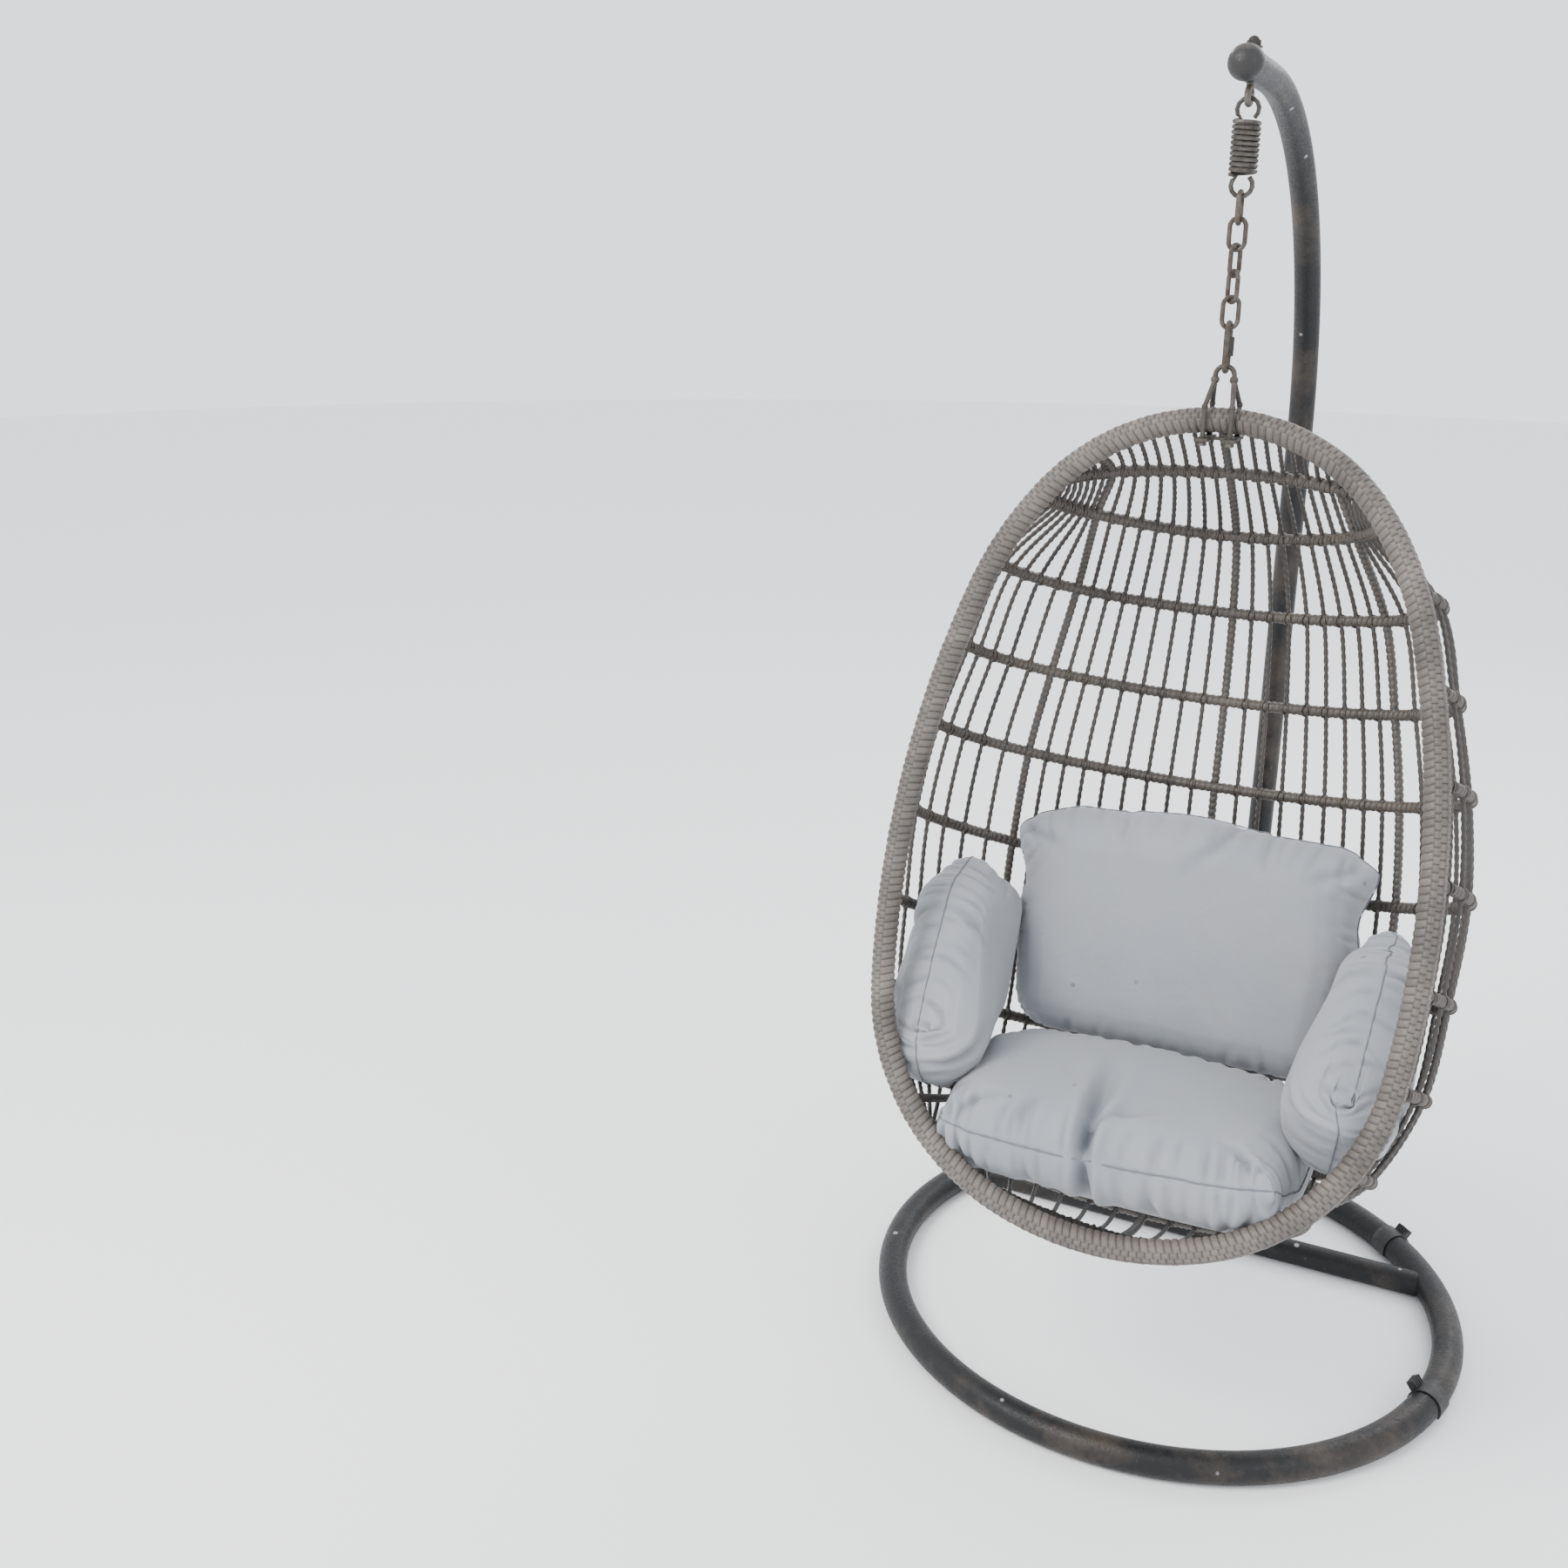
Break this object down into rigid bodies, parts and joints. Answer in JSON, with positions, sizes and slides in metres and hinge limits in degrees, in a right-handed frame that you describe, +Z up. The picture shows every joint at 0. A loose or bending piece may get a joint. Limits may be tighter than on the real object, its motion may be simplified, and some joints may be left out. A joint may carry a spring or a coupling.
{
  "type": "hanging egg chair",
  "caption": "Egg-shaped woven basket chair with loose cushions, hung by a chain and tension spring from a curved tube arm on a ring base.",
  "frame": {"origin": "middle of the bounding box in plan, on the floor", "axes": "+Z up, the basket opens towards -Y, the post is on the +Y side"},
  "size_m": [0.958, 1.0678, 1.9993],
  "materials": {
    "stand_paint": "dark grey hammered powder coat, worn",
    "clip_plastic": "matt black",
    "cap_plastic": "semi-gloss black",
    "fastener_zinc": "dulled zinc plate",
    "spring_steel": "dull plating with brown rust",
    "chain_steel": "brown rusted plating",
    "dark_steel": "blackened",
    "hanger_paint": "dark grey paint, rubbed",
    "frame_steel": "dark primer",
    "wicker_round": "grey-brown woven resin strip",
    "wicker_braid": "plaited grey-brown resin strip",
    "wicker_strand": "grey-brown resin strand",
    "cushion_cloth": "light blue-grey woven polyester"
  },
  "bodies": {
    "stand": {"base_front_arc": "stand_paint", "base_right_arc": "stand_paint", "base_back_arc": "stand_paint", "base_left_arc": "stand_paint", "cross_tube": "stand_paint", "rear_foot": "stand_paint", "ring_clips": "clip_plastic", "lower_post": "stand_paint", "upper_post": "stand_paint", "arm_bend": "stand_paint", "arm_end": "stand_paint", "arm_cap": "cap_plastic", "brace_rod": "stand_paint", "post_screws": "fastener_zinc", "eyebolt": "fastener_zinc", "eyebolt_washers": "fastener_zinc", "eyebolt_nut": "dark_steel"},
    "spring": {"spring": "spring_steel"},
    "first_link": {"chain_link_1": "chain_steel"},
    "second_link": {"chain_link_2": "chain_steel"},
    "third_link": {"chain_link_3": "chain_steel"},
    "fourth_link": {"chain_link_4": "chain_steel"},
    "fifth_link": {"chain_link_5": "chain_steel"},
    "quick_link": {"quick_link": "chain_steel", "quick_link_nut": "dark_steel"},
    "basket": {"hanger_bail": "hanger_paint", "hanger_plates": "hanger_paint", "hanger_bolts": "fastener_zinc", "rim_tube": "frame_steel", "rim_wrap": "wicker_round", "rim_braid": "wicker_braid", "middle_rib": "wicker_round", "left_rib": "wicker_round", "right_rib": "wicker_round", "rung_1": "frame_steel", "rung_2": "frame_steel", "rung_3": "frame_steel", "rung_4": "frame_steel", "rung_5": "frame_steel", "rung_6": "frame_steel", "rung_7": "frame_steel", "rung_8": "frame_steel", "rung_9": "frame_steel", "rung_10": "frame_steel", "rung_11": "frame_steel", "weave_outer_left": "wicker_strand", "weave_inner_left": "wicker_strand", "weave_inner_right": "wicker_strand", "weave_outer_right": "wicker_strand", "seat_cushion": "cushion_cloth", "back_cushion": "cushion_cloth", "left_arm_cushion": "cushion_cloth", "right_arm_cushion": "cushion_cloth"}
  },
  "joints": [
    {"name": "fore_aft_swing", "type": "hinge", "parent": "stand", "child": "spring", "pos_m": [0, -0.12, 1.92198], "axis": [-1, 0, 0], "range_deg": [-18, 18]},
    {"name": "spring_bounce", "type": "slide", "parent": "spring", "child": "first_link", "axis": [0, 0, -1], "range_m": [-0.004, 0.03], "stiffness_N_per_m": 27000, "springref_m": -0.0047, "deforming": ["spring"]},
    {"name": "side_swing", "type": "hinge", "parent": "first_link", "child": "second_link", "pos_m": [0, -0.12, 1.76078], "axis": [0, 1, 0], "range_deg": [-15, 15]},
    {"name": "third_link_twist", "type": "hinge", "parent": "second_link", "child": "third_link", "pos_m": [0, -0.12, 0], "axis": [0, 0, 1], "range_deg": [-2, 24]},
    {"name": "fourth_link_twist", "type": "hinge", "parent": "third_link", "child": "fourth_link", "pos_m": [0, -0.12, 0], "axis": [0, 0, 1], "range_deg": [-2, 24]},
    {"name": "fifth_link_twist", "type": "hinge", "parent": "fourth_link", "child": "fifth_link", "pos_m": [0, -0.12, 0], "axis": [0, 0, 1], "range_deg": [-2, 24]},
    {"name": "quick_link_twist", "type": "hinge", "parent": "fifth_link", "child": "quick_link", "pos_m": [0, -0.12, 0], "axis": [0, 0, 1], "range_deg": [-2, 24]},
    {"name": "basket_pitch", "type": "hinge", "parent": "quick_link", "child": "basket", "pos_m": [0, -0.12, 1.57033], "axis": [-1, 0, 0], "range_deg": [-6, 6]}
  ]
}
